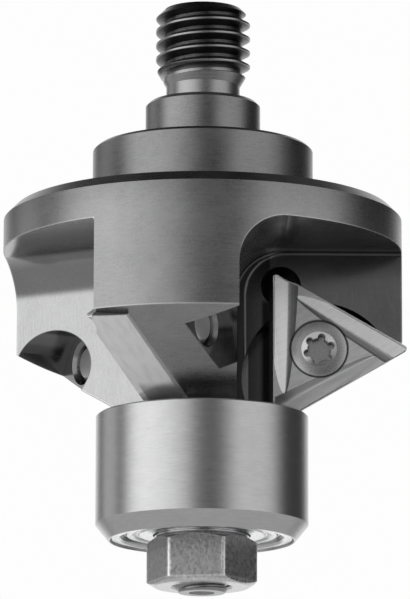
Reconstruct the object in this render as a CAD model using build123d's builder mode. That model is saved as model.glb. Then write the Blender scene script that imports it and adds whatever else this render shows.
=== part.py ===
from build123d import *
import math
import os

# Screw-on bevelling head: a turned steel body with a threaded shank and a pilot
# collar, three triangular inserts held by screws in milled seats, and a guide
# roller that runs on two ball bearings below the inserts.
# Millimetres. The origin is the centre of the annular face that seats on the
# spindle, the axis of rotation is Z, and the shank points to +Z.
# Station 1 has its insert on +X with the rake face looking to -Y, because the
# head turns clockwise as seen from the spindle. Stations 2 and 3 follow every
# 120 degrees.

os.makedirs("parts", exist_ok=True)

# Shank and pilot
thread_diameter = 10.0
thread_allowance = 0.05
thread_pitch = 1.5
thread_groove_depth = 0.88
thread_root_flat = 0.30
thread_angle = 60.0
shank_length = 15.1
shank_chamfer = 0.9
thread_cutter_margin = 0.1
thread_lead_in = 1.0
thread_lead_in_angle = 180.0
turns_per_cut = 2
neck_relief = 0.22
neck_length = 1.8
neck_run_out_angle = 30.0
pilot_diameter = 12.0
pilot_length = 5.0
pilot_chamfer = 0.4
centre_hole_mouth = 2.7
centre_hole_drill = 1.08
centre_hole_depth = 2.7
centre_hole_angle = 60.0

# Hub and head
hub_diameter = 23.0
hub_length = 6.7
hub_chamfer = 0.3
flange_thickness = 4.36
flange_chamfer = 1.05
rim_height = 9.42
collar_step = 0.3
collar_length = 0.8
stud_tip_length = 0.6
stud_chamfer = 0.6
stud_allowance = 0.03
stud_pitch = 1.0
stud_groove_depth = 0.55
stud_root_flat = 0.15
stud_cut_past_end = 0.35

# Stations
station_count = 3
insert_circle = 9.525
insert_corner_angle = 60.0
insert_thickness = 3.97
insert_relief_angle = 11.0
insert_nose_radius = 0.4
tip_overhang = 0.88
edge_overhang = 1.15
low_corner_inset = 2.1575
low_corner_dip = 0.45
rake_lead = 1.2

# Chip grooves of an insert
groove_radius = 1.8
groove_depth = 0.47
groove_from_edge = 1.2
groove_run = 0.76

# Chip pockets, milled in two passes
pocket_lean = 1.2
pocket_wall_clearance = 0.3
pocket_corner_radius = 5.0
finish_step = 0.9
finish_corner_radius = 4.5
finish_depth = 0.2
end_mill_nose_radius = 0.4

# Insert seats
seat_depth = 3.77
seat_clearance = 0.02
corner_relief_radius = 2.1
corner_relief_in = 0.81
corner_relief_down = 1.62
relief_extra_depth = 0.3
side_relief_width = 0.42
side_land_length = 1.6
crescent_radius = 8.0
crescent_depth = 0.57
crescent_shift = 1.5
seat_web = 4.7
back_notch_radius = 3.9
back_notch_shift = 0.5
back_notch_drop = 0.7

# Insert screws
screw_diameter = 4.0
screw_end_gap = 0.45
screw_head_diameter = 5.8
screw_head_height = 1.9
screw_head_sink = 0.1
screw_hole_clearance = 0.02
screw_tip_chamfer = 0.45
screw_hole_chamfer = 0.35
insert_hole_clearance = 0.2
insert_cone_clearance = 0.06
socket_diameter = 3.3
socket_core_diameter = 2.4
socket_lobe_radius = 0.38
socket_fillet = 0.12
socket_depth = 1.3
socket_rim_diameter = 3.7
socket_turn = 18.0

# Ball bearings, 6 x 19 x 6
bearing_count = 2
bearing_bore = 6.0
bearing_outside = 19.0
ball_diameter = 3.5
ball_count = 7
ball_play = 0.05
race_depth = 0.4
fit_clearance = 0.01
ring_edge_chamfer = 0.2
shield_seat_wall = 1.1
shield_seat_gap = 0.15
shield_recess = 0.5
shield_thickness = 0.25
shield_gap = 0.15
shield_rim_width = 0.52
shield_bead_width = 0.68
shield_channel_width = 0.6
shield_bead_height = 0.15
cage_width = 1.1
cage_skirt = 0.9
cage_pocket_play = 0.07
cage_band = 0.3
cage_shield_gap = 0.13

# Guide roller
roller_wall = 1.5
roller_top_lip = 0.81
roller_bottom_lip = 0.18
roller_mouth_chamfer = 0.75
roller_edge_break = 0.15
roller_foot_height = 1.63
roller_foot_land = 0.17

# Nut, size M6
nut_across_flats = 10.0
nut_height = 5.0
nut_chamfer_angle = 30.0
nut_face_step = 0.15
nut_hole_clearance = 0.05
nut_countersink = 0.23
nut_countersink_angle = 90.0
nut_edge_radius = 0.3
nut_turn = -6.7

# Shank, from the thread's crest inwards
crest_radius = thread_diameter / 2 - thread_allowance
root_radius = crest_radius - thread_groove_depth
neck_radius = root_radius - neck_relief
neck_end = pilot_length + neck_length
neck_run_out = (crest_radius - neck_radius) / math.tan(math.radians(neck_run_out_angle))
thread_start = neck_end + neck_run_out

# Bearings, as wide as their balls, cages and shields need
ball_radius = ball_diameter / 2
ball_pitch_radius = (bearing_bore + bearing_outside) / 4
race_radius = ball_radius + ball_play
inner_ring_radius = ball_pitch_radius - ball_radius + race_depth
outer_ring_radius = ball_pitch_radius + ball_radius - race_depth
cage_top = ball_radius + cage_pocket_play + cage_band
shield_back = cage_top + cage_shield_gap
shield_face = shield_back + shield_thickness
bearing_width = 2 * (shield_face + shield_recess)
shield_bore_radius = inner_ring_radius + shield_gap
shield_seat_radius = bearing_outside / 2 - shield_seat_wall
shield_seat_depth = shield_recess + shield_thickness + shield_seat_gap
bead_outside = shield_seat_radius - shield_rim_width
bead_inside = bead_outside - shield_bead_width
shield_hub_radius = bead_inside - shield_channel_width

# The inserts stand upright, so their working edges slope by half of the corner
# angle. The flank of the head is parallel to those edges and lies behind them.
flank_angle = insert_corner_angle / 2
flank_slope = math.tan(math.radians(flank_angle))
insert_side = insert_circle * math.sqrt(3)
insert_inradius = insert_circle / 2
insert_inner_x = bearing_outside / 2 - low_corner_inset
insert_x = insert_inner_x + insert_inradius
head_radius = insert_x + insert_circle - tip_overhang
head_diameter = 2 * head_radius

# Heights of the head, and of the insert's centre, which is level with its tip
flange_bottom = -hub_length - flange_thickness
rim_bottom = flange_bottom - rim_height
insert_z = rim_bottom + tip_overhang * flank_slope - edge_overhang / math.cos(math.radians(flank_angle))
insert_top_z = insert_z + insert_side / 2
bearing_top = insert_z - insert_side / 2 + low_corner_dip
nose_bottom = bearing_top + collar_length
nose_radius = head_radius - (rim_bottom - nose_bottom) / flank_slope
collar_radius = inner_ring_radius - collar_step
bearing_bottom = bearing_top - bearing_count * bearing_width
nut_bottom = bearing_bottom - nut_height
stud_end = nut_bottom - stud_tip_length
journal_radius = bearing_bore / 2 - fit_clearance
stud_radius = bearing_bore / 2 - stud_allowance

# Seat of an insert, whose own frame has its origin in the middle of the rake face
station = Plane(origin=(insert_x, -rake_lead, insert_z), x_dir=(1, 0, 0), z_dir=(0, -1, 0))
seat_plane = station.offset(-insert_thickness)
notch_plane = seat_plane.offset(-seat_web)
seat_inset = insert_thickness * math.tan(math.radians(insert_relief_angle))
seat_y = insert_thickness - rake_lead
lug_face_y = seat_y - seat_depth
inner_wall_end = rim_bottom - (head_radius - insert_inner_x) * flank_slope
side_relief_top = insert_side / 2 - corner_relief_down
side_relief_length = insert_top_z - corner_relief_down - inner_wall_end - side_land_length

# Screw of an insert
screw_radius = screw_diameter / 2
screw_hole_radius = screw_radius + screw_hole_clearance
screw_head_radius = screw_head_diameter / 2
screw_cone_slope = (screw_head_radius - screw_radius) / screw_head_height
screw_end = screw_end_gap - insert_thickness - seat_web
socket_rim_depth = (socket_rim_diameter - socket_core_diameter) / 4

# Thread grooves, cut a few turns at a time: on the shank from the neck to past its
# end, and on the stud from inside the nut to past its end
groove_flank = math.tan(math.radians(thread_angle / 2))
shank_groove = (root_radius, crest_radius + thread_cutter_margin, thread_root_flat, thread_pitch)
stud_groove = (stud_radius - stud_groove_depth, stud_radius + thread_cutter_margin, stud_root_flat, stud_pitch)
cut_height = turns_per_cut * thread_pitch
cut_start = pilot_length + thread_lead_in
cut_count = math.ceil((shank_length + thread_pitch / 2 - cut_start) / cut_height)

# A chip groove's cylinder dips towards the open corner of its edge.
groove_dip = math.degrees(math.atan2(groove_depth, groove_run * insert_side))
groove_length = 2 * insert_side
groove_start = Location(
    (groove_from_edge - insert_inradius, (0.5 - groove_run) * insert_side, groove_radius),
    (-90 - groove_dip, 0, 0),
)

# Guide roller and nut
roller_radius = bearing_outside / 2 + roller_wall
roller_top = bearing_top + roller_top_lip
roller_bottom = bearing_bottom - roller_bottom_lip
nut_flat_radius = nut_across_flats / 2
nut_face_radius = nut_flat_radius - nut_face_step
nut_corner_radius = nut_flat_radius / math.cos(math.pi / 6)
nut_chamfer_height = (nut_corner_radius - nut_face_radius) * math.tan(math.radians(nut_chamfer_angle))
nut_hole_radius = stud_radius + nut_hole_clearance

# The wall of a chip pocket passes beside the bearing journal.
pocket_wall = bearing_bore / 2 + pocket_wall_clearance
finish_wall = pocket_wall + finish_step
pocket_height = flange_bottom - bearing_top + end_mill_nose_radius
lean_cos = math.cos(math.radians(pocket_lean))
lean_sin = math.sin(math.radians(pocket_lean))


def pocket_plane(wall_x, floor_y):
    """Plane of a pocket's floor, with its origin in the upper inner corner."""
    origin = (wall_x, floor_y, flange_bottom)
    return Plane(origin, x_dir=(lean_cos, lean_sin, 0), z_dir=(lean_sin, -lean_cos, 0))


def seat_outline(inradius):
    """Corners of the open seat: the closed corner A and three points past the metal."""
    top = (-inradius, inradius * math.sqrt(3))
    reach_x = head_diameter * math.cos(math.radians(flank_angle))
    reach_y = head_diameter * math.sin(math.radians(flank_angle))
    past = (top[0] + reach_x, top[1] - reach_y)
    return (top, past, (past[0], -head_diameter), (-inradius, -head_diameter))


# Turned blank of the head, with the shank above and the stud below
with BuildPart() as blank:
    with BuildSketch(Plane.XZ):
        with BuildLine():
            Polyline(
                (0, shank_length),
                (crest_radius - shank_chamfer, shank_length),
                (crest_radius, shank_length - shank_chamfer),
                (crest_radius, thread_start),
                (neck_radius, neck_end),
                (neck_radius, pilot_length),
                (pilot_diameter / 2 - pilot_chamfer, pilot_length),
                (pilot_diameter / 2, pilot_length - pilot_chamfer),
                (pilot_diameter / 2, 0),
                (hub_diameter / 2 - hub_chamfer, 0),
                (hub_diameter / 2, -hub_chamfer),
                (hub_diameter / 2, -hub_length),
                (head_radius - flange_chamfer, -hub_length),
                (head_radius, -hub_length - flange_chamfer),
                (head_radius, rim_bottom),
                (nose_radius, nose_bottom),
                (collar_radius, nose_bottom),
                (collar_radius, bearing_top),
                (journal_radius, bearing_top),
                (journal_radius, bearing_bottom),
                (stud_radius, bearing_bottom),
                (stud_radius, stud_end + stud_chamfer),
                (stud_radius - stud_chamfer, stud_end),
                (0, stud_end),
                close=True,
            )
        make_face()
    revolve(axis=Axis.Z)
    # Centre holes, on which the blank was turned and ground
    with Locations(Pos(0, 0, shank_length), Pos(0, 0, stud_end) * Rot(180, 0, 0)):
        CounterSinkHole(
            radius=centre_hole_drill / 2,
            counter_sink_radius=centre_hole_mouth / 2,
            depth=centre_hole_depth,
            counter_sink_angle=centre_hole_angle,
        )

# Cutters that take a few turns of the shank's and of the stud's thread groove
thread_cutters = []
for inner_radius, outer_radius, root_flat, pitch in (shank_groove, stud_groove):
    mouth = root_flat / 2 + (outer_radius - inner_radius) * groove_flank
    with BuildPart() as thread_cut:
        with BuildLine() as thread_path:
            Helix(pitch=pitch, height=turns_per_cut * pitch, radius=inner_radius)
        with BuildSketch(Plane.XZ):
            Polygon(
                (inner_radius, -root_flat / 2),
                (outer_radius, -mouth),
                (outer_radius, mouth),
                (inner_radius, root_flat / 2),
                align=None,
            )
        sweep(path=thread_path.line, is_frenet=True)
    thread_cutters.append(thread_cut.part)
shank_cutter, stud_cutter = thread_cutters

# Roughing and finishing pass of a chip pocket, each with the corner radius that its
# end mill leaves, and with the end mill's rounded nose along the floor
pocket_passes = []
for wall_x, floor_y, radius in (
    (pocket_wall, lug_face_y - finish_depth, pocket_corner_radius),
    (finish_wall, lug_face_y, finish_corner_radius),
):
    with BuildPart() as pocket_pass:
        with BuildSketch(pocket_plane(wall_x, floor_y)) as pocket_face:
            Rectangle(head_diameter, pocket_height, align=(Align.MIN, Align.MAX))
            fillet(pocket_face.vertices().group_by(Axis.X)[0].sort_by(Axis.Y)[-1], radius)
        extrude(amount=head_diameter)
        fillet(pocket_pass.faces().sort_by(Axis.Y)[-1].edges(), end_mill_nose_radius)
    pocket_passes.append(pocket_pass.part)

# Cutters that mill one chip pocket, and then the insert's seat in it
with BuildPart() as pocket_cut:
    add(pocket_passes)
    # Seat of the insert, whose two walls lean back with the insert's sides
    with BuildSketch(seat_plane):
        Polygon(*seat_outline(insert_inradius - seat_inset + seat_clearance), align=None)
    with BuildSketch(station):
        Polygon(*seat_outline(insert_inradius + seat_clearance), align=None)
    loft()
    # Relief of the closed corner, and of the inner wall down to its land
    with BuildSketch(seat_plane.offset(-relief_extra_depth)):
        with Locations((corner_relief_in - insert_inradius, side_relief_top)):
            Circle(corner_relief_radius)
        with Locations((seat_inset - insert_inradius, side_relief_top)):
            Rectangle(seat_inset + side_relief_width, side_relief_length, align=(Align.MAX, Align.MAX))
    extrude(amount=insert_thickness + relief_extra_depth)
    # Crescent relief in the middle of the upper wall, down to the seat
    with BuildSketch(seat_plane):
        with Locations(Location((0, 0), -flank_angle)):
            with Locations((crescent_shift, insert_inradius + crescent_depth - crescent_radius)):
                Circle(crescent_radius)
    extrude(amount=insert_thickness)
    # Screw hole through the web, and the notch that it opens into behind
    with BuildSketch(seat_plane):
        Circle(screw_hole_radius)
    extrude(amount=-seat_web)
    with BuildSketch(notch_plane):
        Circle(screw_hole_radius + screw_hole_chamfer)
    with BuildSketch(notch_plane.offset(screw_hole_chamfer)):
        Circle(screw_hole_radius)
    loft()
    with BuildSketch(notch_plane):
        with Locations(Location((0, 0), flank_angle)):
            with Locations((-back_notch_shift, -back_notch_drop)):
                Circle(back_notch_radius)
                Rectangle(2 * back_notch_radius, head_radius, align=(Align.CENTER, Align.MAX))
    extrude(amount=-head_radius)

# The finished head: the blank with its thread, three pockets and three seats
with BuildPart() as cutter_body:
    add(blank.part)
    for cut in range(cut_count):
        cut_turn = thread_lead_in_angle + cut * turns_per_cut * 360
        add(Pos(0, 0, cut_start + cut * cut_height) * Rot(0, 0, cut_turn) * shank_cutter, mode=Mode.SUBTRACT)
    add(Pos(0, 0, stud_end - stud_cut_past_end) * stud_cutter, mode=Mode.SUBTRACT)
    with PolarLocations(0, station_count):
        add(pocket_cut.part, mode=Mode.SUBTRACT)
cutter_body.part.label = "cutter_body"
export_step(cutter_body.part, "parts/cutter_body.step")

# Insert, modelled with its rake face on XY and then placed in its seat
with BuildPart() as insert:
    with BuildSketch() as insert_outline:
        RegularPolygon(radius=insert_circle, side_count=3)
        fillet(insert_outline.vertices(), insert_nose_radius)
    extrude(amount=-insert_thickness, taper=insert_relief_angle)
    # Ground chip grooves, one along each edge, that run out before the next corner
    with PolarLocations(0, 3):
        with Locations(groove_start):
            Cylinder(
                radius=groove_radius,
                height=groove_length,
                align=(Align.CENTER, Align.CENTER, Align.MIN),
                mode=Mode.SUBTRACT,
            )
    CounterSinkHole(
        radius=screw_radius + insert_hole_clearance,
        counter_sink_radius=screw_head_radius + insert_cone_clearance + screw_head_sink * screw_cone_slope,
        counter_sink_angle=2 * math.degrees(math.atan(screw_cone_slope)),
    )

# Screw of an insert, with its head in the insert's countersink
with BuildPart() as insert_screw:
    with BuildSketch(Plane.XZ):
        with BuildLine():
            Polyline(
                (0, -screw_head_sink),
                (screw_head_radius, -screw_head_sink),
                (screw_radius, -screw_head_sink - screw_head_height),
                (screw_radius, screw_end + screw_tip_chamfer),
                (screw_radius - screw_tip_chamfer, screw_end),
                (0, screw_end),
                close=True,
            )
        make_face()
    revolve(axis=Axis.Z)
    # Six-lobed socket with a conical lead-in
    with BuildSketch(Plane.XY.offset(-screw_head_sink)):
        Circle(socket_rim_diameter / 2)
    with BuildSketch(Plane.XY.offset(-screw_head_sink - socket_rim_depth)):
        Circle(socket_core_diameter / 2)
    loft(mode=Mode.SUBTRACT)
    with BuildSketch(Plane.XY.offset(-screw_head_sink)) as socket_star:
        Circle(socket_core_diameter / 2)
        with PolarLocations(socket_diameter / 2 - socket_lobe_radius, 6, start_angle=socket_turn):
            Circle(socket_lobe_radius)
        fillet(socket_star.vertices(), socket_fillet)
    extrude(amount=-socket_depth, mode=Mode.SUBTRACT)

for number in range(station_count):
    turned = Rot(0, 0, number * 360 / station_count) * station.location
    placed_insert = turned * insert.part
    placed_insert.label = f"insert_{number + 1}"
    export_step(placed_insert, f"parts/insert_{number + 1}.step")
    placed_screw = turned * insert_screw.part
    placed_screw.label = f"insert_screw_{number + 1}"
    export_step(placed_screw, f"parts/insert_screw_{number + 1}.step")

# Inner ring of a bearing, centred on the origin
with BuildPart() as inner_ring:
    with BuildSketch(Plane.XZ):
        with Locations((bearing_bore / 2, 0)):
            Rectangle(inner_ring_radius - bearing_bore / 2, bearing_width, align=(Align.MIN, Align.CENTER))
        with Locations((ball_pitch_radius, 0)):
            Circle(race_radius, mode=Mode.SUBTRACT)
    revolve(axis=Axis.Z)
    ends = inner_ring.edges().filter_by(GeomType.CIRCLE).group_by(Axis.Z)
    chamfer(ends[0] + ends[-1], ring_edge_chamfer)

# Outer ring, with a step at each end that seats a shield
with BuildPart() as outer_ring:
    with BuildSketch(Plane.XZ):
        with Locations((bearing_outside / 2 - fit_clearance, 0)):
            Rectangle(
                bearing_outside / 2 - fit_clearance - outer_ring_radius,
                bearing_width,
                align=(Align.MAX, Align.CENTER),
            )
        with Locations((ball_pitch_radius, 0)):
            Circle(race_radius, mode=Mode.SUBTRACT)
        with Locations((0, bearing_width / 2), (0, -bearing_width / 2)):
            Rectangle(2 * shield_seat_radius, 2 * shield_seat_depth, mode=Mode.SUBTRACT)
    revolve(axis=Axis.Z)
    ends = outer_ring.edges().filter_by(GeomType.CIRCLE).group_by(Axis.Z)
    chamfer(ends[0] + ends[-1], ring_edge_chamfer)

# Balls of one bearing
with BuildPart() as balls:
    with PolarLocations(ball_pitch_radius, ball_count):
        Sphere(ball_radius)

# Crown cage: a band above the balls, with fingers between them
with BuildPart() as cage:
    with BuildSketch(Plane.XY.offset(-cage_skirt)):
        Circle(ball_pitch_radius + cage_width / 2)
        Circle(ball_pitch_radius - cage_width / 2, mode=Mode.SUBTRACT)
    extrude(amount=cage_skirt + cage_top)
    with PolarLocations(ball_pitch_radius, ball_count):
        Sphere(ball_radius + cage_pocket_play, mode=Mode.SUBTRACT)

# Shield: a thin pressed washer with a raised bead and a raised hub
with BuildPart() as shield:
    with BuildSketch(Plane.XZ):
        with BuildLine():
            Polyline(
                (shield_bore_radius, shield_face + shield_bead_height),
                (shield_hub_radius - shield_bead_height, shield_face + shield_bead_height),
                (shield_hub_radius, shield_face),
                (bead_inside - shield_bead_height, shield_face),
                (bead_inside, shield_face + shield_bead_height),
                (bead_outside - shield_bead_height, shield_face + shield_bead_height),
                (bead_outside, shield_face),
                (shield_seat_radius, shield_face),
                (shield_seat_radius, shield_back),
                (shield_bore_radius, shield_back),
                close=True,
            )
        make_face()
    revolve(axis=Axis.Z)

bearing_names = ("upper", "lower")
for number, name in enumerate(bearing_names):
    height = bearing_top - (number + 0.5) * bearing_width
    for piece_name, piece in (
        ("inner_ring", inner_ring),
        ("outer_ring", outer_ring),
        ("balls", balls),
        ("cage", cage),
    ):
        placed = Pos(0, 0, height) * piece.part
        placed.label = f"{name}_{piece_name}"
        export_step(placed, f"parts/{name}_{piece_name}.step")
    for side_name, turn in (("top", 0), ("bottom", 180)):
        placed = Pos(0, 0, height) * Rot(turn, 0, 0) * shield.part
        placed.label = f"{name}_bearing_{side_name}_shield"
        export_step(placed, f"parts/{name}_bearing_{side_name}_shield.step")

# Guide roller that carries both outer rings in its bore
with BuildPart() as guide_roller:
    with BuildSketch(Plane.XZ):
        with BuildLine():
            Polyline(
                (bearing_outside / 2, roller_top - roller_mouth_chamfer),
                (bearing_outside / 2 + roller_mouth_chamfer, roller_top),
                (roller_radius - roller_edge_break, roller_top),
                (roller_radius, roller_top - roller_edge_break),
                (roller_radius, roller_bottom + roller_foot_height),
                (bearing_outside / 2 + roller_foot_land, roller_bottom),
                (bearing_outside / 2, roller_bottom),
                close=True,
            )
        make_face()
    revolve(axis=Axis.Z)
guide_roller.part.label = "guide_roller"
export_step(guide_roller.part, "parts/guide_roller.step")

# Hexagon nut that clamps both inner rings against the collar
with BuildPart() as clamp_nut:
    with BuildSketch(Plane.XY.offset(nut_bottom)) as nut_outline:
        RegularPolygon(radius=nut_flat_radius, side_count=6, major_radius=False, rotation=nut_turn)
        fillet(nut_outline.vertices(), nut_edge_radius)
    extrude(amount=nut_height)
    with BuildSketch(Plane.XZ):
        with BuildLine():
            Polyline(
                (0, nut_bottom),
                (nut_face_radius, nut_bottom),
                (nut_corner_radius, nut_bottom + nut_chamfer_height),
                (nut_corner_radius, bearing_bottom - nut_chamfer_height),
                (nut_face_radius, bearing_bottom),
                (0, bearing_bottom),
                close=True,
            )
        make_face()
    revolve(axis=Axis.Z, mode=Mode.INTERSECT)
    with Locations(Pos(0, 0, bearing_bottom), Pos(0, 0, nut_bottom) * Rot(180, 0, 0)):
        CounterSinkHole(
            radius=nut_hole_radius,
            counter_sink_radius=nut_hole_radius + nut_countersink,
            depth=nut_height,
            counter_sink_angle=nut_countersink_angle,
        )
clamp_nut.part.label = "clamp_nut"
export_step(clamp_nut.part, "parts/clamp_nut.step")
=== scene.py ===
# %% [markdown]
# # A bevelling head with a guide roller
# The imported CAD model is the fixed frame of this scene: its pieces already stand
# where they belong, in metres. This lesson gives every piece its finish and sets
# up the studio. The head screws into a spindle with its threaded shank, turns,
# and planes a sloping edge while the roller below the inserts runs on the work.

import math

import bpy
from mathutils import Matrix, Vector


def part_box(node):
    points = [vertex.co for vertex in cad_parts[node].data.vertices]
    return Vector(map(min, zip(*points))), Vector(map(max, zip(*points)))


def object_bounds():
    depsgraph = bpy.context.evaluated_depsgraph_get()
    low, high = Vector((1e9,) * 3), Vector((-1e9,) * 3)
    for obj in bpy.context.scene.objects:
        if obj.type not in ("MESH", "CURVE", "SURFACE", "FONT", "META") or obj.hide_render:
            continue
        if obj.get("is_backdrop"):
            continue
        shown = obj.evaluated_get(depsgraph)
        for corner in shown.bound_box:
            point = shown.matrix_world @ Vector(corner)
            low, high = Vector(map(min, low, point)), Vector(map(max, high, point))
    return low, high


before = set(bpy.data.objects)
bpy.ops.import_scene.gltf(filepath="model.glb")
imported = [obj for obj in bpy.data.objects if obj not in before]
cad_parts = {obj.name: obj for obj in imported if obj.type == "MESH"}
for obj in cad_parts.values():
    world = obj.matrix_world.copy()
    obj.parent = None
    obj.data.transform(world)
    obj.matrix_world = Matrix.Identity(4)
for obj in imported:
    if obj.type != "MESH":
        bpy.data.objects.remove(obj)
cad_low, cad_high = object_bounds()
print("pieces in the frame:", len(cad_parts))

# %% [markdown]
# Sizes are easier to think about in millimetres, and Blender works in metres.
# One factor turns one into the other wherever a length is written below.

# %% Sizes that the finishes follow
MM = 0.001


def low(node, axis):
    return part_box(node)[0][axis] / MM


def high(node, axis):
    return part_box(node)[1][axis] / MM


head_radius = high("cutter_body", 1)
nut_bottom = low("clamp_nut", 2)
print("head radius", round(head_radius, 2), "mm, nut's underside at", round(nut_bottom, 2), "mm")

# %% [markdown]
# ## Arithmetic for shaders
# A finish is a sum of patterns: grain, blotches, tool marks, worn edges. Drawn
# by hand, that is a web of Math nodes. Here one small class stands for a socket,
# and Python's own signs add the nodes, so that a finish reads like a formula.
# Every other kind of node comes from the method node, which sets the node's
# choices first and then fills its sockets with numbers or with other sockets.

# %% A socket that can be calculated with
class Wire:
    """One output socket of a node tree."""

    def __init__(self, tree, socket=None):
        self.tree = tree
        self.socket = socket

    def node(self, kind, inputs=None, output=0, **choices):
        made = self.tree.nodes.new("ShaderNode" + kind)
        for name, value in choices.items():
            setattr(made, name, value)
        for key, value in (inputs or {}).items():
            if isinstance(value, Wire):
                self.tree.links.new(value.socket, made.inputs[key])
            else:
                made.inputs[key].default_value = value
        return Wire(self.tree, made.outputs[output])

    def math(self, operation, *values):
        return self.node("Math", dict(enumerate(values)), operation=operation)

    def __add__(self, other):
        return self.math("ADD", self, other)

    def __sub__(self, other):
        return self.math("SUBTRACT", self, other)

    def __mul__(self, other):
        return self.math("MULTIPLY", self, other)

    def __truediv__(self, other):
        return self.math("DIVIDE", self, other)

    def __radd__(self, other):
        return self.math("ADD", other, self)

    def __rsub__(self, other):
        return self.math("SUBTRACT", other, self)

    def __rmul__(self, other):
        return self.math("MULTIPLY", other, self)

    def __neg__(self):
        return self.math("MULTIPLY", self, -1.0)

    def __abs__(self):
        return self.math("ABSOLUTE", self)


# %% [markdown]
# Four short helpers say what the formulas below are made of. step rises softly
# from 0 to 1 between two values, band is 1 inside a range, and parts splits a
# vector. Grain is noise that is stretched by its scale along each axis, so that
# one helper gives even grain, brushed lines and turning marks.

# %% Soft steps, bands and grain
def step(value, start, end):
    settings = {"Value": value, "From Min": start, "From Max": end, "To Min": 0.0, "To Max": 1.0}
    return value.node("MapRange", settings, interpolation_type="SMOOTHSTEP")


def band(value, start, end, soft):
    return step(value, start - soft, start + soft) * (1 - step(value, end - soft, end + soft))


def parts(vector):
    made = vector.node("SeparateXYZ", {0: vector})
    outputs = made.socket.node.outputs
    return [Wire(vector.tree, outputs[i]) for i in range(3)]


def join(x, y, z):
    known = next(v for v in (x, y, z) if isinstance(v, Wire))
    return known.node("CombineXYZ", {0: x, 1: y, 2: z})


def grain(vector, scales, detail=3.0):
    stretched = vector.node("VectorMath", {0: vector, 1: scales}, operation="MULTIPLY")
    settings = {"Vector": stretched, "Scale": 1.0, "Detail": detail, "Roughness": 0.6}
    return vector.node("TexNoise", settings)


def close_tree(wire, kind, name):
    end = wire.tree.nodes.new("ShaderNode" + kind)
    wire.tree.links.new(wire.socket, end.inputs[name])


print("helpers ready")

# %% [markdown]
# ## The camera
# The photograph was taken from a little below the head with a long lens, so the
# flange's underside and the face of the nut both show. The camera stands half a
# metre away and looks up. A long lens keeps the circles of the flange and the
# roller nearly parallel.

# %% Camera at the photograph's angle
target = Vector((0.268, 0.0, -15.873)) * MM
distance = 535.12 * MM
elevation = math.radians(-11.63)
roll = math.radians(0.141)
sensor_width = 36.0
focal_pixels = 5143.3
picture_height = 599.0
back = Vector((0.0, -math.cos(elevation), math.sin(elevation)))
camera_data = bpy.data.cameras.new("camera")
camera = bpy.data.objects.new("camera", camera_data)
bpy.context.scene.collection.objects.link(camera)
camera.location = target + distance * back
camera.rotation_mode = "QUATERNION"
level = (-back).to_track_quat("-Z", "Y")
camera.rotation_quaternion = level @ Matrix.Rotation(roll, 3, "Z").to_quaternion()
camera_data.sensor_fit = "AUTO"
camera_data.sensor_width = sensor_width
camera_data.lens = sensor_width * focal_pixels / picture_height
camera_data.clip_start = 0.01
camera_data.clip_end = 20.0
bpy.context.scene.camera = camera
bpy.context.scene.view_settings.view_transform = "Standard"
print("lens", round(camera_data.lens, 1), "mm")

# %% [markdown]
# ## The studio
# Polished and satin steel shows its surroundings, so the light of a metal
# product is really the arrangement of bright and dark walls around it. Here a
# tall soft box stands on the left, a dimmer one on the right, a dark gap behind
# the camera, and white paper behind the object. The world's colour is worked
# out from the direction alone, as two angles in degrees: azimuth, which is 0
# behind the camera and grows to the right, and height above the horizon.

# %% Directions round the object
world = bpy.data.worlds.new("studio")
bpy.context.scene.world = world
world.use_nodes = True
world.node_tree.nodes.clear()
sky = Wire(world.node_tree)
dir_x, dir_y, dir_z = parts(sky.node("TexCoord", output="Generated"))
azimuth = sky.math("ARCTAN2", dir_x, -dir_y) * math.degrees(1.0)
height = sky.math("ARCSINE", dir_z) * math.degrees(1.0)
print("directions ready")

# %% [markdown]
# Each wall is a soft range of angles times its brightness, where 1 is white
# paper. The ceiling is dim, and darkest overhead and behind the object, which
# keeps the flange's chamfer nearly black. Rays from the camera itself don't see
# the walls: they see plain white paper.

# %% Walls and ceiling
room = 0.05
table_glow = 0.5
paper_white = 0.985
left_box = 1.15 * step(azimuth, -104.0, -72.0) * (1 - step(azimuth, -62.0, 16.0))
left_top = 0.8 * left_box * band(height, 38.0, 62.0, 6.0)
left_wall = 0.46 * band(azimuth, -136.0, -104.0, 9.0)
right_box = 0.65 * step(azimuth, 17.0, 44.0) * (1 - step(azimuth, 72.0, 104.0))
behind = step(abs(azimuth), 100.0, 140.0)
paper = step(abs(azimuth), 135.0, 172.0) * (1 - step(height, 34.0, 50.0))
front_fill = 0.21 * (1 - step(abs(azimuth), 0.0, 60.0))
walls = room + left_box + left_wall + right_box + paper + front_fill
upper = step(height, 26.0, 60.0)
lower = 1 - step(height, -50.0, -20.0)
camera_gap = band(azimuth, -10.0, 18.0, 8.0) * band(height, -22.0, 21.0, 5.0)
gap_depth = 0.6 + 0.34 * (1 - step(height, -7.0, 3.0))
from_walls = walls * (1 - gap_depth * camera_gap) * (1 - upper) * (1 - lower)
overhead = 0.28 * (1 - 0.8 * band(height, 66.0, 87.0, 3.0)) * (1 - 0.8 * behind)
light = from_walls + (overhead + left_top) * upper + table_glow * lower
seen = sky.node("LightPath", output="Is Camera Ray")
strength = light * (1 - seen) + paper_white * seen
shown = sky.node("Background", {"Color": (1.0, 1.0, 1.0, 1.0), "Strength": strength})
close_tree(shown, "OutputWorld", "Surface")
print("world nodes", len(world.node_tree.nodes))

# %% [markdown]
# A pale lit table lies well below the head, as under many product photographs,
# and lights the undersides softly. Its light fades out towards its rim, so that
# no edge shows. The camera looks up from below the head's height, so the table
# lets sight through from its underside and stays solid from above.

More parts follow.
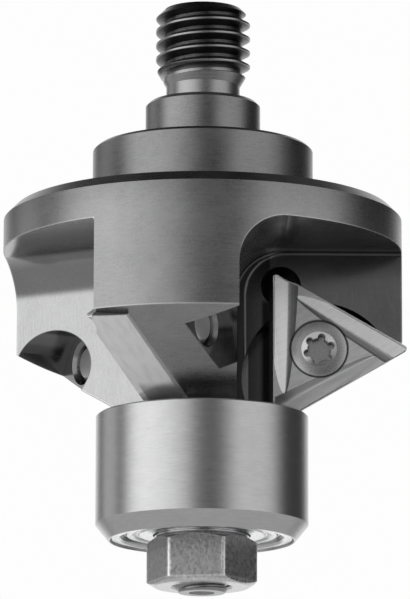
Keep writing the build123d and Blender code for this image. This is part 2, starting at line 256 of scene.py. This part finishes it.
# %% The lit table
floor_radius = 0.6
floor_height = -0.2
fade_start = 0.35
fade_end = 0.58
lit_glow = 0.46
seen_glow = 0.96
bpy.ops.object.select_all(action="DESELECT")
bpy.ops.mesh.primitive_circle_add(vertices=96, radius=floor_radius, fill_type="NGON")
floor = bpy.context.active_object
floor.name = "floor"
floor.location = (0.0, 0.0, floor_height)
floor_material = bpy.data.materials.new("floor_paper")
floor_material.use_nodes = True
floor_material.node_tree.nodes.clear()
paper_wire = Wire(floor_material.node_tree)
floor_x, floor_y = parts(paper_wire.node("TexCoord", output="Object"))[:2]
from_middle = paper_wire.math("SQRT", floor_x * floor_x + floor_y * floor_y)
seen_directly = paper_wire.node("LightPath", output="Is Camera Ray")
glow = lit_glow + (seen_glow - lit_glow) * seen_directly
paper_shader = paper_wire.node("Emission", {"Color": (1.0, 1.0, 1.0, 1.0), "Strength": glow})
clear_shader = paper_wire.node("BsdfTransparent")
underside = paper_wire.node("NewGeometry", output="Backfacing")
clear = paper_wire.math("MAXIMUM", underside, step(from_middle, fade_start, fade_end))
table_shader = paper_wire.node("MixShader", {0: clear, 1: paper_shader, 2: clear_shader})
close_tree(table_shader, "OutputMaterial", "Surface")
floor.data.materials.append(floor_material)
floor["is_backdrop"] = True
print("table at", floor_height, "m")

# %% [markdown]
# ## A metal finish
# Every finish here is steel or carbide, so they share one recipe: a grey that
# changes a little over the surface, a roughness, and a fine relief. The recipe
# takes a function that draws the patterns from the point's place, in
# millimetres, and gives back the grey, the roughness and the relief's height.

# %% The recipe for a metal finish
STEEL_TINT = (1.0, 1.0, 1.01)


def metal(name, draw, metallic=1.0):
    material = bpy.data.materials.new(name)
    material.use_nodes = True
    tree = material.node_tree
    tree.nodes.clear()
    start = Wire(tree)
    place = start.node("TexCoord", output="Object")
    place = place.node("VectorMath", {0: place, 3: 1.0 / MM}, operation="SCALE")
    grey, roughness, relief = draw(place)
    even = join(grey, grey, grey)
    colour = grey.node("VectorMath", {0: even, 1: STEEL_TINT}, operation="MULTIPLY")
    bump = relief.node("Bump", {"Height": relief, "Strength": 1.0, "Distance": MM})
    inputs = {"Base Color": colour, "Metallic": metallic, "Roughness": roughness, "Normal": bump}
    close_tree(start.node("BsdfPrincipled", inputs), "OutputMaterial", "Surface")
    return material


def dress(node, material):
    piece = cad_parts[node]
    for slot in piece.material_slots:
        slot.material = material


print("recipe ready")

# %% [markdown]
# ## The head's steel
# The body is turned from bar, milled, and blackened to a satin grey. Its three
# stations are alike, so a finish is drawn once: every point is first turned to
# the station it belongs to. There the insert stands on +X, and Y counts from
# the axis towards the lug that carries the insert. The sizes below, in
# millimetres, are those of the model.

# %% One station for all three
def station_place(x, y, start):
    """The same point turned to the first station, with angles counted from start."""
    angle = x.math("ARCTAN2", y, x) * math.degrees(1.0)
    folded = angle.math("FLOORED_MODULO", angle - start, 120.0) + start
    turned = folded * math.radians(1.0)
    radius = x.math("SQRT", x * x + y * y)
    return radius * x.math("COSINE", turned), radius * x.math("SINE", turned)


def near(value, place, width):
    """1 where value is at place, falling to 0 a width away."""
    return 1 - step(abs(value - place), 0.0, width)


hub_bottom = -6.6
flange_bottom = -11.06
rim_bottom = -20.48
pocket_bottom = -29.1
journal_radius = 3.3
pocket_corner = (3.3, -1.2)
mill_radius = 5.0
lean = math.radians(1.2)
flank_slope = math.radians(30.0)
insert_middle = (12.1, -21.3)
seat_floor = 2.77
notch_floor = 7.47
notch_middle = (-0.5, -0.7)
notch_radius = 3.9
screw_pitch = 0.7
screw_hole_radius = 2.02
pilot_top = 5.1
thread_start = 8.1
thread_crest = 4.95
print("stations fold onto one another every 120 degrees")

# %% [markdown]
# The chip pocket is milled in front of the insert, and its outline is rounded where the ceiling
# meets the inner wall. Behind the lug a round notch opens over the end of the insert's screw. The
# notch's wall and the screw's hole are darkened with painted shade, and the hole's turns of thread
# are painted as dark lines. The two functions below tell where a point lies in them.

# %% Places in the pockets and notches
def pocket_place(x, y, z):
    """Distances from a pocket's lug face and, inwards, from its rounded outline."""
    sx, sy = station_place(x, y, -90.0)
    from_wall = (sx - pocket_corner[0]) * math.cos(lean) + (sy - pocket_corner[1]) * math.sin(lean)
    from_lug = (sy - pocket_corner[1]) * math.cos(lean) - (sx - pocket_corner[0]) * math.sin(lean)
    in_x = x.math("MAXIMUM", mill_radius - from_wall, 0.0)
    in_z = x.math("MAXIMUM", mill_radius - flange_bottom + z, 0.0)
    from_outline = mill_radius - x.math("SQRT", in_x * in_x + in_z * in_z)
    return from_lug, from_outline, sx, sy


def notch_wall(x, y, z):
    """1 on the round wall of the notch, which gets painted shade, and the painted shade of the
    screw's hole and its edge.
    """
    sx, sy = station_place(x, y, -40.0)
    side = sx - insert_middle[0]
    up = z - insert_middle[1]
    across = side * math.cos(flank_slope) + up * math.sin(flank_slope) - notch_middle[0]
    along = up * math.cos(flank_slope) - side * math.sin(flank_slope) - notch_middle[1]
    along = x.math("MAXIMUM", along, 0.0)
    from_middle = x.math("SQRT", across * across + along * along)
    wall = near(from_middle, notch_radius, 0.1) * step(sy, notch_floor - 0.07, notch_floor + 0.03)
    from_screw = x.math("SQRT", side * side + up * up)
    behind_seat = step(sy, seat_floor + 0.03, seat_floor + 0.13)
    outside_hole = step(from_screw, screw_hole_radius + 0.03, screw_hole_radius + 0.1)
    past_edge = step(from_screw, screw_hole_radius + 0.3, screw_hole_radius + 0.37)
    # Painted shade: dark lines for the hole's turns of thread, and the hole and its edge darkened.
    turns = near(x.math("FRACT", sy / screw_pitch), 0.5, 0.4)
    hole_shade = (1 - outside_hole) * (0.45 + 0.5 * turns)
    hole_edge_shade = 0.5 * outside_hole * (1 - past_edge)
    return wall, behind_seat * (hole_shade + hole_edge_shade)


print("pocket and notch places ready")

# %% [markdown]
# A point is on a turned face if it lies on the outline that was turned, which
# two distances tell: one from the rim's cylinder and one from the flank's cone.
# What lies off that outline, between the flange and the roller, was milled.
# Edges are painted bright, partly as wear from hands and work and partly as a painted highlight
# where an edge would catch the light. The photograph shows the lug face, the ceiling, the fillets
# and the seat round the insert in deep shade. Part of that shade is painted into the colour here
# as painted shade, so it stays under any other light.

# %% Milled faces, edges with wear and painted highlight, and painted shade
def head_masks(x, y, z, radius):
    """1 on milled faces, 1 on edges with wear and painted highlight, and how much of its grey each
    place keeps under painted shade.
    """
    from_lug, from_outline, sx, sy = pocket_place(x, y, z)
    above_cone = (z - rim_bottom) * math.cos(flank_slope)
    flank = above_cone + (head_radius - radius) * math.sin(flank_slope)
    off_turned = x.math("MINIMUM", abs(radius - head_radius), abs(flank))
    below_flange = 1 - step(z, flange_bottom + 0.02, flange_bottom + 0.06)
    in_pockets = below_flange * step(z, pocket_bottom - 0.1, pocket_bottom + 0.1)
    milled = step(off_turned, 0.03, 0.08) * in_pockets
    milled = milled * step(radius, journal_radius - 0.1, journal_radius + 0.1)
    in_front = 1 - step(sy, seat_floor + 0.33, seat_floor + 0.43)
    on_lug = step(from_lug, -0.12, -0.04)
    # Painted shade: seat, notch, hole, corner, ceiling, nose_fillet, beside_insert, under_insert,
    # rounded and strip all darken the grey where shade falls.
    seat = milled * step(from_lug, 0.26, 0.34) * in_front
    notch, hole = notch_wall(x, y, z)
    notch = milled * notch
    # Painted highlight, partly wear: bright lines along the pocket's outline, the rim's lower edge
    # and the edges of the milled faces.
    outline_edge = near(from_outline, 0.0, 0.16) * (1 - step(from_lug, 0.1, 0.3))
    outline_edge = outline_edge * step(z, -16.0, -13.0)
    rim_edge = near(z, rim_bottom, 0.14) * near(radius, head_radius, 0.2)
    wear_and_highlight = (outline_edge + rim_edge) * (1 - milled) + near(off_turned, 0.0, 0.2) * milled
    corner = milled * (1 - step(from_outline, 0.4, 3.4)) * on_lug
    ceiling = milled * step(z, flange_bottom - 0.06, flange_bottom - 0.01)
    nose_fillet = milled * (1 - step(from_outline, 0.3, 0.45)) * step(from_lug, -0.45, -0.3)
    beside_insert = milled * band(sx, 6.2, 7.0, 0.2) * (1 - step(z, -16.6, -15.8))
    beside_insert = beside_insert * (1 - seat)
    under_insert = 0.15 + 0.75 * step(sx, 5.9, 6.5)
    rounded = milled * near(from_outline, 0.0, 0.2) * band(z, -14.4, -11.5, 0.5)
    strip = milled * (1 - step(sx, 6.9, 7.1)) * on_lug * in_front
    left_by_painted_shade = (1 - seat * under_insert) * (1 - 0.8 * beside_insert) * (1 - 0.65 * notch)
    left_by_painted_shade = left_by_painted_shade * (1 - 0.5 * corner) * (1 - 0.45 * ceiling) * (1 - 0.7 * nose_fillet)
    left_by_painted_shade = left_by_painted_shade * (1 - 0.6 * strip) * (1 - 0.35 * rounded) * (1 - hole)
    return milled, wear_and_highlight, left_by_painted_shade


print("head masks ready")

# %% [markdown]
# Turned faces carry fine marks that run round the axis, so their pattern changes only with radius
# and height. Milled faces in the pockets carry straighter marks. The hub and the pilot collar are
# painted a little darker than the flange, as painted shade, and the turned neck is brighter. The
# thread is painted dark, as painted shade on its flanks, with painted highlights on its crests.

# %% The head's finish
def head_steel(place):
    x, y, z = parts(place)
    radius = x.math("SQRT", x * x + y * y)
    milled, wear_and_highlight, left_by_painted_shade = head_masks(x, y, z, radius)
    turning = grain(join(radius + z, 0.0, 0.0), (9.0, 1.0, 1.0), detail=4.0)
    strokes = grain(place, (0.9, 0.9, 15.0), detail=3.0)
    milling = grain(place, (7.0, 7.0, 0.7), detail=3.0)
    speckle = grain(place, (8.0, 8.0, 8.0), detail=3.0)
    blotch = grain(place, (0.35, 0.35, 0.35), detail=2.0)
    run_out = band(z, pilot_top, thread_start, 0.3)
    thread = step(z, thread_start - 0.3, thread_start + 0.3)
    crest_highlight = thread * near(radius, thread_crest, 0.16)
    grey = 0.37 + 0.1 * (blotch - 0.5) + 0.2 * (speckle - 0.5)
    # Painted shade: the hub and the pilot collar darker than the flange.
    grey = grey - 0.08 * step(z, flange_bottom, hub_bottom)
    # Painted shade on the thread and painted highlight on its crests.
    grey = grey + 0.13 * run_out - 0.2 * thread + 0.32 * crest_highlight
    grey = grey + 0.16 * (strokes - 0.5) * (1 - milled)
    # Painted highlight, partly wear, along the edges.
    grey = grey + milled * (0.13 + 0.12 * (milling - 0.5)) + 0.3 * wear_and_highlight
    # Painted shade from head_masks.
    grey = grey * left_by_painted_shade
    roughness = 0.26 + 0.12 * (speckle - 0.5) + 0.1 * (strokes - 0.5) + 0.06 * blotch
    roughness = roughness - 0.1 * milled + 0.15 * wear_and_highlight
    turned_relief = 0.012 * turning + 0.001 * speckle
    relief = turned_relief * (1 - milled) + 0.002 * milling * milled
    return grey, roughness, relief


dress("cutter_body", metal("head_steel", head_steel))
print("head dressed")

# %% [markdown]
# ## The inserts
# Carbide inserts are pressed, sintered and ground. The faces are pale and carry fine parallel
# marks. Along each edge the wheel has ground a chip groove that runs out before the next corner: a
# long ramp down from the cutting edge, and a short steep wall. The solid has a round groove there,
# so the relief adds the difference in depth between the two, and the steep wall is painted a
# little darker, as painted shade.
# Lengths are in millimetres, with the screw at the middle of the insert.

# %% Chip grooves
insert_inradius = 4.7625
groove_radius = 1.8
groove_middle = 1.2
groove_start = -4.29
groove_fall = 0.0375
ramp_slope = 0.36
inner_growth = 0.43
outer_growth = 0.61
wall_share = 0.7


def chip_grooves(across, up):
    """Depth by which a ground groove leaves the round one, and 1 on its steep inner wall."""
    deeper = 0.0
    steep = 0.0
    nearest = 9.0
    for turn in (0.0, 120.0, 240.0):
        a = math.radians(turn)
        from_edge = across * math.cos(a) + up * math.sin(a) + insert_inradius
        along = up * math.cos(a) - across * math.sin(a) - groove_start
        aside = from_edge - groove_middle
        reach = across.math("SQRT", across.math("MAXIMUM", along + 0.5, 0.0001))
        inner = reach * inner_growth
        outer = reach * outer_growth
        inside = step(aside + outer, 0.0, 0.06) * (1 - step(aside - inner, -0.06, 0.0))
        ramp = ramp_slope * (aside + outer)
        peak = ramp_slope * (inner * (1 - wall_share) + outer)
        wall = peak * (inner - aside) / (inner * wall_share)
        profile = across.math("SMOOTH_MIN", ramp, wall, 0.12)
        depth = across.math("MAXIMUM", groove_fall * along, 0.0)
        left = across.math("MAXIMUM", groove_radius * groove_radius - aside * aside, 0.0)
        round_floor = across.math("SQRT", left) - groove_radius + depth
        round_depth = across.math("MAXIMUM", round_floor, 0.0)
        deeper = deeper + inside * profile - round_depth
        steep = steep + inside * step(aside / inner, 0.2, 0.6)
        nearest = across.math("MINIMUM", nearest, from_edge)
    on_top = step(nearest, 0.1, 0.2)
    return deeper * on_top, steep * on_top


print("groove relief ready")

# %% [markdown]
# The rake face looks at the chips, and the flanks lean back from it. In the photograph the upper
# flank lies in the dark gap below the lug, and the end of the insert that almost touches the
# roller mirrors the dark there, so both are darkened in the colour as painted shade. A thin dark
# ring is painted round the screw's head, as painted shade in the gap there.
# The grinding marks run aslant, from a noise that is stretched along them.

# %% The inserts' finish
rake_lead = 1.2
screw_gap_radius = 3.0


def ground_carbide(turn):
    def draw(place):
        x, y, z = parts(place)
        a = math.radians(-turn)
        along = x * math.cos(a) - y * math.sin(a)
        inwards = x * math.sin(a) + y * math.cos(a)
        across = along - insert_middle[0]
        up = z - insert_middle[1]
        rake = 1 - step(inwards, 0.55 - rake_lead, 0.6 - rake_lead)
        deeper, steep = chip_grooves(across, up)
        from_screw = x.math("SQRT", across * across + up * up)
        outwards = across * 0.5 + up * math.sqrt(0.75)
        upper_side = (1 - rake) * step(outwards, 3.9, 4.0) * step(up, -0.1, 0.1)
        stroke = z * 0.87 - along * 0.5
        scratches = grain(join(stroke, (along + z) * 0.08, inwards), (4.0, 4.0, 1.5), detail=2.0)
        speckle = grain(place, (12.0, 12.0, 12.0), detail=1.0)
        grey = 0.97 + 0.4 * (scratches - 0.5) + 0.08 * (speckle - 0.5)
        # Painted shade: a dark ring in the gap round the screw's head, and the steep groove walls
        # darkened.
        screw_gap_shade = near(from_screw, screw_gap_radius, 0.16)
        grey = grey * (1 - 0.6 * rake * steep) * (1 - 0.85 * screw_gap_shade)
        # Painted shade: the upper flank and the low end darkened.
        low_end = (1 - rake) * (1 - step(up, -5.9, -5.2))
        grey = grey * (1 - 0.8 * upper_side) * (1 - 0.5 * low_end)
        roughness = 0.33 + 0.2 * (scratches - 0.5)
        relief = 0.003 * scratches - rake * deeper
        return grey, roughness, relief
    return draw


for station in (1, 2, 3):
    carbide = ground_carbide(120.0 * (station - 1))
    finish = metal("insert_carbide_" + str(station), carbide, metallic=0.7)
    dress("insert_" + str(station), finish)
print("inserts dressed")

# %% [markdown]
# ## Roller and bearings
# The roller is ground on its outside: bands of slightly different gloss run round it, crossed by
# fine brushed lines. The bearings' rings and balls are ground finer. The shields are pressed
# sheet, and the two channels between their beads are painted darker, as painted shade. The cages
# are pressed too, so their grey is speckled.

# %% Finishes of ground and pressed steel
def formed_steel(base, rough):
    def draw(place):
        speckle = grain(place, (16.0, 16.0, 16.0), detail=3.0)
        blotch = grain(place, (1.2, 1.2, 1.2), detail=2.0)
        grey = base + 0.12 * (speckle - 0.5) + 0.06 * (blotch - 0.5)
        return grey, rough + 0.14 * (speckle - 0.5), 0.003 * speckle
    return draw


def ground_steel(base, rough, channels=()):
    def draw(place):
        x, y, z = parts(place)
        radius = place.math("SQRT", x * x + y * y)
        channel_shade = sum(near(radius, channel, 0.32) for channel in channels)
        rings = grain(join(radius + z, 0.0, 0.0), (14.0, 1.0, 1.0), detail=5.0)
        strokes = grain(place, (0.8, 0.8, 16.0), detail=3.0)
        blotch = grain(place, (0.5, 0.5, 0.8), detail=3.0)
        grey = base + 0.05 * (rings - 0.5) + 0.16 * (strokes - 0.5) + 0.1 * (blotch - 0.5)
        # Painted shade in the shields' channels.
        grey = grey * (1 - 0.65 * channel_shade)
        return grey, rough + 0.08 * (rings - 0.5) + 0.1 * (strokes - 0.5), 0.011 * rings
    return draw


dress("guide_roller", metal("roller_steel", ground_steel(0.62, 0.24)))
bearing_finish = metal("bearing_steel", ground_steel(0.72, 0.16))
shield_finish = metal("shield_steel", ground_steel(0.84, 0.2, channels=(8.14, 6.9)))
ball_finish = metal("ball_steel", ground_steel(0.8, 0.08))
cage_finish = metal("cage_steel", formed_steel(0.5, 0.4))
for side in ("upper", "lower"):
    dress(side + "_inner_ring", bearing_finish)
    dress(side + "_outer_ring", bearing_finish)
    dress(side + "_balls", ball_finish)
    dress(side + "_cage", cage_finish)
    dress(side + "_bearing_top_shield", shield_finish)
    dress(side + "_bearing_bottom_shield", shield_finish)
print("roller and bearings dressed")

# %% [markdown]
# ## Screws
# The insert screws are cold formed, so their grey is speckled. Their heads are slightly domed
# round a six-lobed socket whose walls are painted dark, as painted shade, and a bright land runs
# round the socket. A dark ring is painted round the head's edge, as painted shade in the gap
# there. The socket's outline is six small circles that bulge out of a larger one, folded onto a
# single lobe. The screws' far ends, which show in the notches, are plain and duller.

# %% The screws' finish
lobe_circle = 1.27
lobe_radius = 0.38
socket_core = 1.2
land_radius = 1.85
head_edge_radius = 2.9


def screw_steel(place):
    x, y, z = parts(place)
    sx, sy = station_place(x, y, -60.0)
    across = sx - insert_middle[0]
    up = z - insert_middle[1]
    from_axis = x.math("SQRT", across * across + up * up)
    head = 1 - step(sy, -1.0, -0.9)
    ring = head * step(from_axis, 1.75, 1.9)
    turn = x.math("ARCTAN2", up, across) * math.degrees(1.0)
    lobe = (x.math("FLOORED_MODULO", turn + 12.0, 60.0) - 30.0) * math.radians(1.0)
    lobe_x = from_axis * x.math("COSINE", lobe) - lobe_circle
    lobe_y = from_axis * x.math("SINE", lobe)
    from_lobe = x.math("SQRT", lobe_x * lobe_x + lobe_y * lobe_y) - lobe_radius
    from_star = x.math("MINIMUM", from_lobe, from_axis - socket_core)
    socket_side = 1 - step(sy, 1.0, 1.2)
    wall = socket_side * near(from_star, -0.03, 0.1)
    inside_land = 1 - step(from_axis, land_radius - 0.07, land_radius + 0.01)
    land = socket_side * step(from_star, 0.04, 0.1) * inside_land
    speckle = grain(place, (16.0, 16.0, 16.0), detail=3.0)
    turning = grain(join(from_axis, 0.0, 0.0), (12.0, 1.0, 1.0), detail=3.0)
    grey = 0.72 + 0.2 * (speckle - 0.5) + 0.08 * (turning - 0.5)
    grey = grey + 0.15 * land + 0.1 * (1 - socket_side)
    # Painted shade: a dark ring at the head's edge and on the socket's walls.
    grey = grey * (1 - 0.7 * near(from_axis, head_edge_radius, 0.1)) * (1 - 0.75 * wall)
    roughness = 0.28 + 0.14 * (speckle - 0.5) + 0.14 * (1 - socket_side)
    dome = -0.09 * (from_axis - land_radius) * (from_axis - 1.0)
    relief = ring * dome + 0.004 * speckle * socket_side
    return grey, roughness, relief


for station in (1, 2, 3):
    dress("insert_screw_" + str(station), metal("screw_steel_" + str(station), screw_steel))
print("screws dressed")

# %% [markdown]
# ## Nut
# The nut is cold formed, and its sides are mottled. Its corners and its lower edge are painted
# bright, as painted highlights where rounded edges catch the light. The underside was faced, so it
# is brighter still.

# %% The nut's finish
nut_corner_radius = 5.6
nut_chamfer_height = 0.62


def nut_steel(place):
    x, y, z = parts(place)
    radius = x.math("SQRT", x * x + y * y)
    speckle = grain(place, (14.0, 14.0, 14.0), detail=4.0)
    blotch = grain(place, (2.4, 2.4, 2.4), detail=5.0)
    ragged = radius + 0.2 * (blotch - 0.5)
    # Painted highlight along the corners and the lower edge.
    edge = step(ragged, nut_corner_radius, nut_corner_radius + 0.08) * (0.6 + 0.8 * speckle)
    bottom_edge_highlight = near(z + 0.25 * blotch, nut_bottom + nut_chamfer_height, 0.18)
    underside = 1 - step(z, nut_bottom + 0.1, nut_bottom + 0.5)
    grey = 0.46 + 0.4 * (speckle - 0.5) + 0.5 * (blotch - 0.5)
    grey = grey + 0.45 * edge + 0.3 * bottom_edge_highlight + 0.35 * underside
    roughness = 0.3 + 0.3 * (speckle - 0.5) + 0.2 * (blotch - 0.5)
    relief = 0.008 * speckle + 0.05 * blotch
    return grey, roughness, relief


dress("clamp_nut", metal("nut_steel", nut_steel))
print("all pieces dressed")

# %% How much the dressed pieces have grown
seen_low, seen_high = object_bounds()
grown = (seen_high - seen_low) - (cad_high - cad_low)
print("grown by mm", [round(side / MM, 3) for side in grown])
